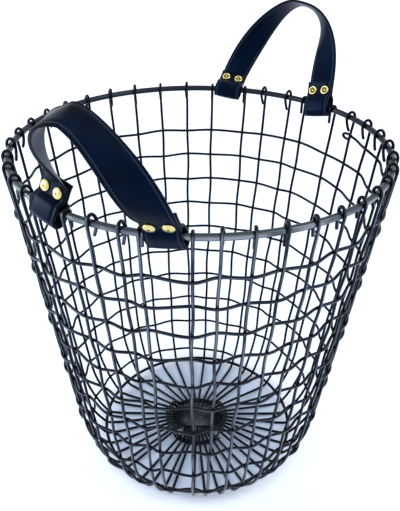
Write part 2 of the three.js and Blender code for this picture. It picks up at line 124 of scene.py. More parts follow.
def gunmetal(name, painted_shade_inside, outside, rubbed_and_highlit):
    """Dark lacquered steel, finely pitted, rubbed in patches on its outer side, where the lighter
    line is partly wear and partly a painted highlight, and lighter on the cross in the floor as a
    painted sheen. Faces turned into the basket are painted darker as shade.
    """
    material, sockets, tone = new_finish(name)
    place = tone.node("ShaderNodeTexCoord", {}, {}, "Object")
    facing = tone.node("ShaderNodeNewGeometry", {}, {}, "Normal")
    around = tone.node("ShaderNodeVectorMath", {"operation": "MULTIPLY"}, {0: place, 1: (1, 1, 0)})
    outwards = tone.node("ShaderNodeVectorMath", {"operation": "NORMALIZE"}, {0: around})
    turned_out = tone.node("ShaderNodeVectorMath", {"operation": "DOT_PRODUCT"},
                           {0: facing, 1: outwards}, "Value")
    from_middle = tone.node("ShaderNodeVectorMath", {"operation": "LENGTH"}, {0: around}, "Value")
    patches = tone.node("ShaderNodeTexNoise", {}, {"Vector": place, "Scale": 42, "Detail": 4})
    pits = tone.node("ShaderNodeTexNoise", {}, {"Vector": place, "Scale": 1100, "Detail": 2})
    # Faces turned into the basket get the darker inside colour: painted shade.
    lacquer_and_painted_shade = turned_out.between(-0.2, 0.5).mix(painted_shade_inside, outside)
    # The middle of the floor, on the cross, is lighter: a painted sheen.
    painted_sheen_on_cross = 1 - from_middle.between(CROSS_SHEEN_RADIUS, CROSS_PLAIN)
    # A lighter line along the outer side, in patches, partly wear and partly a painted highlight,
    # plus the cross's painted sheen.
    wear_and_painted_highlight = patches.between(0.3, 0.68) * (turned_out.between(0.7, 0.99) + painted_sheen_on_cross * 0.55)
    sockets["Metallic"].default_value = 0.9
    sockets["Specular IOR Level"].default_value = 0.15
    sockets["Coat Weight"].default_value = 0.08
    sockets["Coat Roughness"].default_value = 0.12
    relief = tone.node("ShaderNodeBump", {}, {"Height": pits, "Strength": 0.25, "Distance": 0.0002})
    feed(sockets, Base_Color=wear_and_painted_highlight.mix(lacquer_and_painted_shade, rubbed_and_highlit), Roughness=0.18 + pits * 0.1 + patches * 0.12,
         Normal=relief)
    return material


def new_piece(name, vertices, faces, material):
    """Smooth mesh in the row frame."""
    mesh = bpy.data.meshes.new(name)
    mesh.from_pydata([tuple(v) for v in vertices], [], faces)
    mesh.shade_smooth()
    mesh.materials.append(material)
    made = bpy.data.objects.new(name, mesh)
    bpy.context.scene.collection.objects.link(made)
    return made


def wire(name, points, thickness, sides, material, closed=False):
    """Round wire along a row of points, with slightly rounded cut ends unless it is closed."""
    rings = []
    side = None
    count = len(points)
    for i, point in enumerate(points):
        before = points[i - 1] if i > 0 or closed else point
        after = points[(i + 1) % count] if i + 1 < count or closed else point
        along = (after - before).normalized()
        side = along.orthogonal() if side is None else side
        side = (side - along * side.dot(along)).normalized()
        top = along.cross(side)
        rings.append((point, side, top, thickness / 2))
        if not closed and i in (0, count - 1):
            tip = point + along * thickness * (TIP_LENGTH if i else -TIP_LENGTH)
            rings.insert(len(rings) if i else 0, (tip, side, top, thickness / 2 * TIP_WIDTH))
    vertices = []
    for point, side, top, radius in rings:
        for j in range(sides):
            turn = math.tau * j / sides
            vertices.append(point + side * radius * math.cos(turn) + top * radius * math.sin(turn))
    faces = []
    for i in range(len(rings) if closed else len(rings) - 1):
        here, there = i * sides, (i + 1) % len(rings) * sides
        for j in range(sides):
            k = (j + 1) % sides
            faces.append((here + j, here + k, there + k, there + j))
    if not closed:
        faces.append(tuple(range(sides))[::-1])
        faces.append(tuple(range(len(vertices) - sides, len(vertices))))
    return new_piece(name, vertices, faces, material)


def round_point(degrees, radius, height):
    turn = math.radians(degrees)
    return Vector((radius * math.cos(turn), radius * math.sin(turn), height))


# Rim colours: inside is painted shade, outside the lacquer, rubbed partly wear and partly a painted
# highlight.
rim_steel = gunmetal("rim_gunmetal", (0.02, 0.025, 0.036), (0.06, 0.076, 0.092), (0.26, 0.29, 0.32))
rim_line = [round_point(360 * i / RIM_STEPS, RIM_RADIUS, RIM_HEIGHT) for i in range(RIM_STEPS)]
rim = wire("rim_rod", rim_line, RIM_WIRE + LACQUER, RIM_SIDES, rim_steel, closed=True)
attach(rim, "basket")
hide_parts("rim_ring")

# Stakes: twenty long steel wires, cut, bent and crossed by hand. Each runs from a hook on the rim
# down the wall, through the middle of the base and up the other side to its second hook. The weaver
# passes in front of and behind them by turns, and has pulled each of them a little in and out.
STAKE_WIRE = 0.0023
STAKE_SIDES = 10
STAKES = 40
ARM_WIRES = STAKES // 4
STAKE_PITCH = 360 / STAKES
STAKE_DRIFT = 6.5
DRIFT_FROM = 120
TAB_ANGLES = (255.5, 288.5, 69.2, 105.8)
TAB_SPREAD = 6.25
TAB_REACH = 7.2
TOUCH_GAP = 0.0003
FLOOR_LINE = 0.000996
FLOOR_RADIUS = 0.094
FOOT_LENGTH = 0.008
FOOT_BEND = 0.009
FOOT_TURN = math.radians(50)
FOOT_STEPS = 8
CORNER_RADIUS = 0.1
CORNER_STEPS = 8
WALL_STEPS = 66
HOOK_GAP = 0.0001
HOOK_RADIUS = RIM_WIRE / 2 + STAKE_WIRE / 2 + HOOK_GAP
HOOK_STEPS = 14
HOOK_ARCH = 0.002
ARCH_SPREAD = (0.6, 1.4)
HOOK_ASIDE = 0.0026
ASIDE_SPREAD = (0.7, 1.1)
HOOK_TAIL = 0.012
TAIL_SPREAD = (0.85, 1.1)
TAIL_LEAN = 0.0022
LEAN_SPREAD = (0.5, 1.2)
TAIL_RETURN = 0.7
TAIL_POINTS = (0.35, 0.7, 1)
CROSS_TURN = 27
CROSS_EDGE = 0.0035
HUB_RISE = 0.003
FAN_BEND = 0.7
CORNER_CUTS = 2
WEAVER_TURNS = 9.9
FIRST_ROW_DROP = 0.025
WEAVER_TOP = RIM_HEIGHT - FIRST_ROW_DROP
WEAVER_END = 0.0115
WEAVER_SPREAD = 0.137
WEAVER_WANDER = 0.0009
WANDER_QUICK = 1.9
WANDER_SLOW = 0.37
WEAVER_LIFT = 0.0065
LIFT_ANGLE = 62
LIFT_REACH = 75
FIRST_STAKE = 6
STAKE_PULL = 0.00035
STAKE_SWAY = 0.0012
SWAY_QUICK = 95
SWAY_SLOW = 31

crossings = round(WEAVER_TURNS * STAKES)
luck = random.Random(31)


def stake_angle(index):
    """Degrees from +X. Stakes stand nearly evenly, and make way for the folded ends of the straps."""
    even = (index + 0.5) * STAKE_PITCH
    angle = even + STAKE_DRIFT * math.sin(math.radians(even - DRIFT_FROM))
    turned = angle % 360
    for tab in TAB_ANGLES:
        if abs(turned - tab) < TAB_SPREAD:
            return angle - turned + tab + math.copysign(TAB_SPREAD, turned - tab)
    return angle


def weaver_height(crossing):
    """The rows fall evenly down the wall, wander a little, and stand higher where they start."""
    share = crossing / crossings
    fall = share * (1 - WEAVER_SPREAD) + share * share * WEAVER_SPREAD
    wander = math.sin(crossing * WANDER_QUICK) * math.sin(crossing * WANDER_SLOW)
    wander *= WEAVER_WANDER * (1 - share)
    off = (stake_angle(FIRST_STAKE - crossing) - LIFT_ANGLE + 180) % 360 - 180
    lift = WEAVER_LIFT * (1 - share) * (1 + math.cos(math.pi * min(1, abs(off) / LIFT_REACH))) / 2
    return WEAVER_TOP + (WEAVER_END - WEAVER_TOP) * fall + wander + lift


def weaver_side(crossing):
    """1 where the weaver passes a stake on the outside, -1 on the inside."""
    return 1 if (crossing + crossing // STAKES) % 2 == 0 else -1


def flat(radius, height):
    return Vector((radius, height))


def downwards(turn):
    return flat(math.sin(turn), -math.cos(turn))


foot_centre = flat(FLOOR_RADIUS, FLOOR_LINE + FOOT_BEND)
corner_centre = foot_centre + downwards(FOOT_TURN) * (FOOT_BEND - CORNER_RADIUS)
rim_centre = flat(RIM_RADIUS, RIM_HEIGHT)
corner_to_rim = rim_centre - corner_centre
wall_turn = math.atan2(corner_to_rim.y, corner_to_rim.x)
wall_turn += math.asin((CORNER_RADIUS - HOOK_RADIUS) / corner_to_rim.length)
wall_foot = corner_centre + downwards(wall_turn) * CORNER_RADIUS
wall_top = rim_centre + downwards(wall_turn) * HOOK_RADIUS

# Section of the wall as pairs of a spot, radius and height, and the way out of the basket there.
wall_section = [(flat(FLOOR_RADIUS - FOOT_LENGTH, FLOOR_LINE), downwards(0))]
for i in range(FOOT_STEPS):
    out = downwards(FOOT_TURN * i / FOOT_STEPS)
    wall_section.append((foot_centre + out * FOOT_BEND, out))
for i in range(CORNER_STEPS):
    out = downwards(FOOT_TURN + (wall_turn - FOOT_TURN) * i / CORNER_STEPS)
    wall_section.append((corner_centre + out * CORNER_RADIUS, out))
for i in range(WALL_STEPS + 1):
    wall_section.append((wall_foot.lerp(wall_top, i / WALL_STEPS), downwards(wall_turn)))


def wall_point(height, outwards):
    """Radius and height of a point beside the bent stake, moved out from it by some amount."""
    for (low, _), (high, out) in zip(wall_section, wall_section[1:]):
        if high.y > height:
            return low.lerp(high, (height - low.y) / (high.y - low.y)) + out * outwards
    return wall_top


def stake_half(index):
    """One stake from its foot up the wall to the end of its hook, which keeps clear of the straps."""
    angle = stake_angle(index)
    first = (FIRST_STAKE - index) % STAKES
    passes = [(weaver_height(k), weaver_side(k)) for k in range(first, crossings + 1, STAKES)][::-1]
    passes = [(FLOOR_LINE, 0), *passes, (RIM_HEIGHT, 0)]
    quick, slow = luck.uniform(0, math.tau), luck.uniform(0, math.tau)
    points = []
    for spot, out in wall_section:
        low, high = next((a, b) for a, b in zip(passes, passes[1:]) if b[0] >= spot.y)
        share = (1 - math.cos(math.pi * (spot.y - low[0]) / (high[0] - low[0]))) / 2
        moved = spot - out * STAKE_PULL * (low[1] + (high[1] - low[1]) * share)
        free = math.sin(math.pi * spot.y / RIM_HEIGHT)
        waves = math.sin(spot.y * SWAY_QUICK + quick) + math.sin(spot.y * SWAY_SLOW + slow)
        sway = STAKE_SWAY * free * waves / 2
        points.append(round_point(angle + math.degrees(sway / moved.x), moved.x, moved.y))
    beside_tab = any(abs(angle % 360 - tab) < TAB_REACH for tab in TAB_ANGLES)
    aside = 0.0 if beside_tab else HOOK_ASIDE * luck.uniform(*ASIDE_SPREAD)
    arch = (0.0 if beside_tab else HOOK_ARCH) * luck.uniform(*ARCH_SPREAD)
    start = wall_turn - math.pi / 2
    for i in range(1, HOOK_STEPS + 1):
        share = i / HOOK_STEPS
        turn = start + (math.pi - start) * share
        radius = RIM_RADIUS + HOOK_RADIUS * math.cos(turn)
        rise = HOOK_RADIUS * math.sin(turn) + arch * max(0, math.sin(turn))
        shift = math.degrees(aside * share * share / RIM_RADIUS)
        points.append(round_point(angle + shift, radius, RIM_HEIGHT + rise))
    tail = HOOK_TAIL * luck.uniform(*TAIL_SPREAD)
    lean = 0.0 if beside_tab else TAIL_LEAN * luck.uniform(*LEAN_SPREAD)
    for share in TAIL_POINTS:
        radius = RIM_RADIUS - HOOK_RADIUS + lean * share * share
        shift = math.degrees(aside * (1 - TAIL_RETURN * share) / RIM_RADIUS)
        points.append(round_point(angle + shift, radius, RIM_HEIGHT - tail * share))
    return points


def rounded(points, rounds):
    """Cuts the corners of a row of points again and again, and keeps its ends."""
    for _ in range(rounds):
        cut = [points[0]]
        for a, b in zip(points, points[1:]):
            cut += [a.lerp(b, 0.25), a.lerp(b, 0.75)]
        points = [*cut, points[-1]]
    return points


# Stake colours: inside is painted shade, outside the lacquer, rubbed partly wear and partly a painted
# highlight.
woven_steel = gunmetal("woven_gunmetal", (0.003, 0.004, 0.007), (0.011, 0.014, 0.023),
                       (0.17, 0.185, 0.215))
wire_pitch = STAKE_WIRE + TOUCH_GAP
cross_radius = (ARM_WIRES - 1) / 2 * wire_pitch * math.sqrt(2) + CROSS_EDGE
lower_height = FLOOR_LINE + HUB_RISE
for layer, turn, height in (("upper", CROSS_TURN, lower_height + wire_pitch),
                            ("lower", CROSS_TURN + 90, lower_height)):
    along, across = round_point(turn, 1, 0), round_point(turn + 90, 1, 0)
    for i in range(ARM_WIRES):
        place = i - (ARM_WIRES - 1) / 2
        aside = across * place * wire_pitch + Vector((0, 0, height))
        straight = math.sqrt(cross_radius ** 2 - (place * wire_pitch) ** 2)
        near_stake = math.floor((turn + place * STAKE_PITCH) / STAKE_PITCH)
        far_stake = math.floor((turn + 180 - place * STAKE_PITCH) / STAKE_PITCH)
        near_half, far_half = stake_half(near_stake), stake_half(far_stake)
        far_bend, near_bend = aside - along * straight, aside + along * straight
        middle = rounded([far_half[0].lerp(far_bend, FAN_BEND), far_bend,
                          near_bend, near_half[0].lerp(near_bend, FAN_BEND)], CORNER_CUTS)
        stake = wire(f"{layer}_stake_{i + 1:02d}", [*far_half[::-1], *middle, *near_half],
                     STAKE_WIRE + LACQUER, STAKE_SIDES, woven_steel)
        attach(stake, "basket")
        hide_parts(f"{layer}_stake_wire_{i + 1:02d}")

# Base ring: a plain ring of steel wire that lies inside the bend of the stakes at the floor's edge.
# It keeps the feet of the stakes apart, and they hold it down.
BASE_RING_WIRE = 0.003
BASE_RING_STEPS = 160
ring_inset = FOOT_BEND - STAKE_WIRE / 2 - TOUCH_GAP - BASE_RING_WIRE / 2
ring_spot = foot_centre + downwards(FOOT_TURN) * ring_inset
ring_line = [round_point(360 * i / BASE_RING_STEPS, *ring_spot) for i in range(BASE_RING_STEPS)]
base_ring = wire("base_hoop", ring_line, BASE_RING_WIRE + LACQUER, STAKE_SIDES, woven_steel,
                 closed=True)
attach(base_ring, "basket")
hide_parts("base_ring")

# Hub binding: thin wire wound two rounds about the crossed stakes, over the upper arms and under the
# lower ones, which ties the cross together.
BINDING_WIRE = 0.002
BINDING_REACH = 0.009
BINDING_STEP = 0.003
BINDING_ROUNDS = 2
BINDING_CHANGE = 5
fan_length = FLOOR_RADIUS - FOOT_LENGTH - cross_radius
binding_clear = STAKE_WIRE / 2 + TOUCH_GAP + BINDING_WIRE / 2
arm_edge = (90 - BINDING_CHANGE) / 2
binding_points = []
for quarter in range(4 * BINDING_ROUNDS):
    over = quarter % 2 == 0
    for offset in (-arm_edge, -arm_edge / 2, 0, arm_edge / 2, arm_edge):
        wound = (quarter * 90 + offset + arm_edge) / 360
        radius = cross_radius + BINDING_REACH + BINDING_STEP * wound
        cross = lower_height + wire_pitch if over else lower_height
        slope = (cross - FLOOR_LINE) * (radius - cross_radius) / fan_length
        height = cross + binding_clear if over else cross - slope - binding_clear
        binding_points.append(round_point(CROSS_TURN + quarter * 90 + offset, radius, height))
binding = wire("hub_tie", rounded(binding_points, CORNER_CUTS), BINDING_WIRE + LACQUER, STAKE_SIDES,
               woven_steel)
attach(binding, "basket")
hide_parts("hub_binding_wire")

# Weaver: one thin unbroken wire. It starts in a small eye round a stake under the rim and spirals
# down the wall ten times, outside one stake and inside the next, so that it is crimped at each.
WEAVER_WIRE = 0.002
WEAVER_LACQUER = 0.0006
WEAVER_SIDES = 8
WEAVE_OFFSET = STAKE_WIRE / 2 + WEAVER_WIRE / 2 - STAKE_PULL
SPAN_STEPS = 7
ROW_EASE = 0.45
EYE_STEPS = 24
EYE_LONG = 0.0056
EYE_TALL = 0.0018
EYE_FROM = math.radians(-165)
EYE_TO = math.radians(150)
weaver_points = []
eye_angle = stake_angle(FIRST_STAKE)
eye_height = weaver_height(0)
eye_out, eye_back = round_point(eye_angle, 1, 0), round_point(eye_angle + 90, 1, 0)
eye_spot = round_point(eye_angle, *wall_point(eye_height, 0))
for i in range(EYE_STEPS):
    share = i / EYE_STEPS
    turn = EYE_FROM + (EYE_TO - EYE_FROM) * share
    spot = eye_spot + eye_back * EYE_LONG * (math.cos(turn) - math.cos(EYE_TO))
    spot -= eye_out * WEAVE_OFFSET * math.cos(math.pi * share)
    weaver_points.append(spot + Vector((0, 0, EYE_TALL * (math.sin(turn) - math.sin(EYE_TO)))))
spots = []
for k in range(crossings + 1):
    spots.append((stake_angle(FIRST_STAKE - k), weaver_height(k), weaver_side(k)))
for (angle, height, side), (next_angle, next_height, next_side) in zip(spots, spots[1:]):
    if next_angle > angle:
        next_angle -= 360
    for i in range(SPAN_STEPS):
        share = i / SPAN_STEPS
        eased = (1 - math.cos(math.pi * share)) / 2
        offset = WEAVE_OFFSET * (side + (next_side - side) * eased)
        fall = (next_height - height) * (share + (eased - share) * ROW_EASE)
        spot = wall_point(height + fall, offset)
        weaver_points.append(round_point(angle + (next_angle - angle) * share, spot.x, spot.y))
# Weaver colours: inside is painted shade, outside the lacquer, rubbed partly wear and partly a
# painted highlight.
weaver_steel = gunmetal("weaver_gunmetal", (0.003, 0.004, 0.007), (0.009, 0.0115, 0.019),
                        (0.075, 0.083, 0.105))
weaver = wire("weaver_strand", weaver_points, WEAVER_WIRE + WEAVER_LACQUER, WEAVER_SIDES,
              weaver_steel)
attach(weaver, "basket")
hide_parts("weaver_wire")

# Handle straps: one strip of smooth navy leather each, cut from the hide, edges inked black and
# creased a little way in, with a painted highlight along each crease. Both ends are folded round the
# rim and riveted to themselves. The strip turns as it rises, so that its face looks up at the crown.
STRAP_WIDTH = 0.026
STRAP_THICKNESS = 0.0024
RIVET_HEIGHT = 0.0136
JOIN_HEIGHT = 0.0084
JOIN_STRAIGHT = 0.003
FOLD_EASE = 0.0014
LEG_HEIGHT = 0.0189
CUT_END_HEIGHT = 0.022
CUT_END_STAND = 0.0008
SWING_OUT = math.radians(50)
SWING_IN = math.radians(25)
SWING_PLAY = 0.0003
LEAN_STEPS = 15
FOLD_STEPS = 12
LEG_STEPS = 20
EDGE_ROUND = 0.0009
EDGE_STEPS = 4
CREASE_INSET = 0.0024
CREASE_WIDTH = 0.0011
CREASE_DEPTH = 0.0003
CREASE_SHAPE = ((0.5, 0), (0.25, 0.6), (0, 1), (-0.25, 0.6), (-0.5, 0))
STRAP_SWELL = 0.00025
SWELL_POINTS = (0.66, 0.33, 0)

strap_layer = (STRAP_THICKNESS + TOUCH_GAP) / 2
rim_sag = STRAP_WIDTH ** 2 / 8 / RIM_RADIUS
leans = [SWING_OUT * i / LEAN_STEPS - SWING_IN * (1 - i / LEAN_STEPS) for i in range(LEAN_STEPS + 1)]


class FoldedEnd:
    """A strap's folded end in the handle's frame: X along the line through both ends, Y out, Z up."""

    def __init__(self, tab, tip, tilt):
        sine = math.sin(tab)
        rim_ways = [Vector((math.cos(tab), -sine * math.cos(lean), -sine * math.sin(lean)))
                    for lean in leans]
        along = (rim_ways[0] + rim_ways[-1]).normalized()
        upright = Vector((0, math.sin(tip), math.cos(tip)))
        upright = (upright - along * upright.dot(along)).normalized()
        self.out = upright.cross(along)
        self.side = along * math.cos(tilt) + upright * math.sin(tilt)
        self.up = upright * math.cos(tilt) - along * math.sin(tilt)
        self.spot = Vector((RIM_RADIUS * sine, -rim_sag / 2, 0))
        aside, aloft = (max(abs(STRAP_WIDTH / 2 * way.dot(axis) / way.dot(self.side))
                            for way in rim_ways) for axis in (self.out, self.up))
        self.half = (RIM_WIRE + STRAP_THICKNESS + rim_sag) / 2 + SWING_PLAY + aside
        self.slot = aloft + SWING_PLAY

    def at(self, outwards, upwards):
        return self.spot + self.out * outwards + self.up * upwards


def smooth_step(share):
    return share * share * (3 - 2 * share)


def strap_half(end, bend, crown, crown_way, crown_twist):
    """Middle, face and side of the strip, from its cut end round the fold and up to the crown."""
    leg_pull, leg_in, leg_out, crown_pull, pace = bend
    ease = end.slot + FOLD_EASE
    fold = [(-strap_layer - CUT_END_STAND, CUT_END_HEIGHT), (-strap_layer, LEG_HEIGHT),
            (-strap_layer, JOIN_HEIGHT + JOIN_STRAIGHT), (-strap_layer, JOIN_HEIGHT),
            (-end.half, ease)]
    for i in range(FOLD_STEPS + 1):
        turn = math.pi * (1 + i / FOLD_STEPS)
        fold.append((end.half * math.cos(turn), -end.slot + end.half * math.sin(turn)))
    fold += [(end.half, ease), (strap_layer, JOIN_HEIGHT), (strap_layer, JOIN_HEIGHT + JOIN_STRAIGHT)]
    sections = []
    for i, (out, up) in enumerate(fold):
        before, after = fold[max(i - 1, 0)], fold[min(i + 1, len(fold) - 1)]
        along = Vector((after[0] - before[0], after[1] - before[1])).normalized()
        sections.append((end.at(out, up), end.out * along.y - end.up * along.x, end.side))
    start = end.at(strap_layer, LEG_HEIGHT)
    leg_end = start + (end.up + Vector((-leg_in, leg_out, 0))) * leg_pull
    pulls = (start, leg_end, crown + crown_way * crown_pull, crown)
    for i in range(LEG_STEPS + 1):
        share = i / LEG_STEPS
        rest = 1 - share
        weights = (rest ** 3, 3 * rest * rest * share, 3 * rest * share * share, share ** 3)
        middle = sum((p * w for p, w in zip(pulls, weights)), Vector())
        steps = [b - a for a, b in zip(pulls, pulls[1:])]
        slope = (rest * rest, 2 * rest * share, share * share)
        along = sum((s * w for s, w in zip(steps, slope)), Vector()).normalized()
        face = end.out.lerp(Vector((0, 1, 0)), share)
        face = (face - along * face.dot(along)).normalized()
        twist = crown_twist * smooth_step(share ** pace)
        face = face * math.cos(twist) + face.cross(along) * math.sin(twist)
        sections.append((middle, face, face.cross(along)))
    return sections


def mirrored(vector):
    return Vector((-vector.x, vector.y, vector.z))


def strap_profile():
    """Outline of the strip's section, in pairs across and through, with a crease along each edge."""
    half, thick = STRAP_WIDTH / 2, STRAP_THICKNESS / 2
    turns = [math.pi / 2 * i / EDGE_STEPS for i in range(EDGE_STEPS + 1)]
    outline = []
    for turn in turns:
        inset, rise = EDGE_ROUND * (1 - math.sin(turn)), EDGE_ROUND * (1 - math.cos(turn))
        outline.append((half - inset, -thick + rise))
    for turn in turns:
        inset, fall = EDGE_ROUND * (1 - math.cos(turn)), EDGE_ROUND * (1 - math.sin(turn))
        outline.append((half - inset, thick - fall))
    crease = half - CREASE_INSET
    for shift, depth in CREASE_SHAPE:
        outline.append((crease + shift * CREASE_WIDTH, thick - CREASE_DEPTH * depth))
    for share in SWELL_POINTS:
        outline.append((crease * share, thick + STRAP_SWELL * (1 - share * share)))
    other = [(-across, through) for across, through in outline[::-1] if across > 0]
    return outline + other


profile = strap_profile()
navy, leather_sockets, tone = new_finish("navy_leather")
grain_place = tone.node("ShaderNodeTexCoord", {}, {}, "UV")
across_strap = tone.node("ShaderNodeSeparateXYZ", {}, {0: grain_place}, 0)
from_edge = 1 - tone.math("ABSOLUTE", across_strap - 0.5) * 2
hide_place = tone.node("ShaderNodeTexCoord", {}, {}, "Object")
pores = tone.node("ShaderNodeTexVoronoi", {"feature": "DISTANCE_TO_EDGE"},
                  {"Vector": hide_place, "Scale": 1250})
clouds = tone.node("ShaderNodeTexNoise", {}, {"Vector": hide_place, "Scale": 55, "Detail": 3})
# A lighter band along each crease: a painted highlight.
crease_highlight_band = from_edge.between(0.13, 0.175) * (1 - from_edge.between(0.195, 0.24))
dyed = clouds.between(0.3, 0.7).mix((0.0005, 0.003, 0.011), (0.0008, 0.0062, 0.022))
# The dyed leather, lighter along each crease as a painted highlight.
polished = (crease_highlight_band * 0.55).mix(dyed, (0.06, 0.07, 0.095))
inked = from_edge.between(0.02, 0.05).mix((0.006, 0.007, 0.01), polished)
relief = tone.node("ShaderNodeBump", {},
                   {"Height": pores.between(0.0, 0.35), "Strength": 0.12, "Distance": 0.0002})
leather_sockets["Specular IOR Level"].default_value = 0.06
leather_sockets["Specular Tint"].default_value = (0.35, 0.62, 1, 1)
feed(leather_sockets, Base_Color=inked, Roughness=0.25 + clouds * 0.12, Normal=relief)

# Each handle: degrees round the rim to its middle and from there to its ends, its lean, its crown,
# how far the crown is askew and twisted, and for both ends tip, tilt, leg pull, leg in, leg out,
# crown pull and pace of the twist.
HANDLES = (
    ("near", 272, 16.5, 19.5, Vector((-0.0075, 0.0125, 0.0975)), 17.2, 101.3,
     ((-38.9, 8.2, 0.0107, -0.19, 0.24, 0.0266, 1.2), (11.7, 7.2, 0.0213, 0, 0.23, 0.0132, 0.71))),
    ("far", 87.5, 18.3, 34.75, Vector((-0.0028, 0.0059, 0.1017)), 6.8, 106.3,
     ((-9.4, 8.2, 0.0271, 0, 0, 0.0362, 1.23), (28.1, 1.9, 0.04, 0, 0, 0.0221, 0.79))),
)
handle_frames = {}
for name, angle, tab, lean, crown, sweep, twist, bends in HANDLES:
    ends = [FoldedEnd(math.radians(tab), math.radians(tip), math.radians(tilt))
            for tip, tilt, *_ in bends]
    to_rim = Matrix.Translation((0, RIM_RADIUS * math.cos(math.radians(tab)), RIM_HEIGHT))
    frame_turn = Matrix.Rotation(math.radians(angle - 90), 4, "Z")
    handle_frame = frame_turn @ to_rim @ Matrix.Rotation(-math.radians(lean), 4, "X")
    handle_frames[name] = (ends, handle_frame)
    crown_way = round_point(sweep, 1, 0)
    one = strap_half(ends[0], bends[0][2:], crown, crown_way, math.radians(twist))
    other = strap_half(ends[1], bends[1][2:], mirrored(crown), -mirrored(crown_way),
                       math.radians(twist))
    sections = one + [tuple(mirrored(v) for v in section) for section in other[:-1][::-1]]
    for _ in range(CORNER_CUTS):
        cut = [sections[0]]
        for a, b in zip(sections, sections[1:]):
            for share in (0.25, 0.75):
                cut.append(tuple(u.lerp(v, share) for u, v in zip(a, b)))
        sections = [*cut, sections[-1]]
    vertices, lengths, length = [], [], 0.0
    for i, (middle, face, side) in enumerate(sections):
        before, after = sections[max(i - 1, 0)][0], sections[min(i + 1, len(sections) - 1)][0]
        along = (after - before).normalized()
        side = (side - along * side.dot(along)).normalized()
        square = along.cross(side)
        face = square if square.dot(face) > 0 else -square
        length += (middle - before).length
        lengths.append(length)
        for across, through in profile:
            vertices.append(handle_frame @ (middle + side * across + face * through))
    count = len(profile)
    faces = []
    for i in range(len(sections) - 1):
        for j in range(count):
            k = (j + 1) % count
            faces.append((i * count + j, i * count + k, (i + 1) * count + k, (i + 1) * count + j))
    faces.append(tuple(range(count))[::-1])
    faces.append(tuple(range(len(vertices) - count, len(vertices))))
    strap = new_piece(f"{name}_leather_strap", vertices, faces, navy)
    grid = strap.data.uv_layers.new(name="strap_uv").data
    for loop in strap.data.loops:
        section, corner = divmod(loop.vertex_index, count)
        grid[loop.index].uv = (profile[corner][0] / STRAP_WIDTH + 0.5, lengths[section])
    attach(strap, f"{name}_handle")
    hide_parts(f"{name}_strap")

# Rivets: two at each folded end. A brass post with a rolled, hollow head goes through both layers
# from the inside of the strap, and a domed brass cap is pressed onto it on the outside.
RIVET_SPACING = 0.013
RIVET_TURNS = 28
CAP_RADIUS = 0.0043
CAP_RISE = 0.002
CAP_EDGE = 0.0006
CAP_CHAMFER = 0.0002
CAP_STEPS = 9
HEAD_RADIUS = 0.0042
HEAD_RISE = 0.0013
HEAD_FLOOR = 0.0003
HEAD_STEPS = 12
RECESS_RADIUS = 0.0026
NIPPLE_RADIUS = 0.0009
NIPPLE_SHAPE = ((0, 1), (0.7, 0.9), (1, 0.6))
SHANK_RADIUS = 0.0015
# Softness of the edges of the painted dark spot and ring on the brass.
PAINTED_SHADE_START_BLUR = 0.04
PAINTED_SHADE_END_BLUR = 0.06
stack = strap_layer + STRAP_THICKNESS / 2 + TOUCH_GAP

cap_outline = [(0, stack), (CAP_RADIUS - CAP_CHAMFER, stack), (CAP_RADIUS, stack + CAP_CHAMFER)]
for i in range(CAP_STEPS + 1):
    turn = math.pi / 2 * i / CAP_STEPS
    cap_outline.append((CAP_RADIUS * math.cos(turn) if i < CAP_STEPS else 0,
                        stack + CAP_EDGE + (CAP_RISE - CAP_EDGE) * math.sin(turn)))
post_outline = [(NIPPLE_RADIUS * wide, -stack - HEAD_RISE * tall) for wide, tall in NIPPLE_SHAPE]
post_outline.append((NIPPLE_RADIUS, -stack - HEAD_FLOOR))
for i in range(HEAD_STEPS + 1):
    turn = math.pi * i / HEAD_STEPS
    radius = RECESS_RADIUS + (HEAD_RADIUS - RECESS_RADIUS) * (1 - math.cos(turn)) / 2
    post_outline.append((radius, -stack - HEAD_FLOOR - (HEAD_RISE - HEAD_FLOOR) * math.sin(turn)))
post_outline += [(HEAD_RADIUS, -stack), (SHANK_RADIUS, -stack), (SHANK_RADIUS, stack - TOUCH_GAP),
                 (0, stack - TOUCH_GAP)]


def rivet_brass(name, painted_shade_from, painted_shade_to):
    """Polished brass with light tarnish, darker and rougher over a span of the turned radius: a
    painted dark reflection on a cap's crown and painted shade in a head's recess.
    """
    material, sockets, tone = new_finish(name)
    turned_place = tone.node("ShaderNodeTexCoord", {}, {}, "UV")
    share = tone.node("ShaderNodeSeparateXYZ", {}, {0: turned_place}, 0)
    place = tone.node("ShaderNodeTexCoord", {}, {}, "Object")
    tarnish = tone.node("ShaderNodeTexNoise", {}, {"Vector": place, "Scale": 420, "Detail": 3})
    scuffs = tone.node("ShaderNodeTexNoise", {}, {"Vector": place, "Scale": 2600, "Detail": 2})
    # Across this span of the radius the brass is darkened as painted shade, and made rougher.
    past_start = share.between(painted_shade_from - PAINTED_SHADE_START_BLUR, painted_shade_from + PAINTED_SHADE_START_BLUR)
    past_end = share.between(painted_shade_to - PAINTED_SHADE_END_BLUR, painted_shade_to + PAINTED_SHADE_END_BLUR)
    dull_painted_shade = past_start * (1 - past_end)
    polished = (tarnish.between(0.45, 0.8) * 0.5).mix((0.76, 0.64, 0.27), (0.46, 0.34, 0.11))
    sockets["Metallic"].default_value = 1
    relief = tone.node("ShaderNodeBump", {}, {"Height": scuffs, "Strength": 0.12, "Distance": 0.0001})
    feed(sockets, Base_Color=(dull_painted_shade * 0.9).mix(polished, (0.05, 0.045, 0.015)),
         Roughness=0.2 + scuffs * 0.16 + dull_painted_shade * 0.3, Normal=relief)
    return material


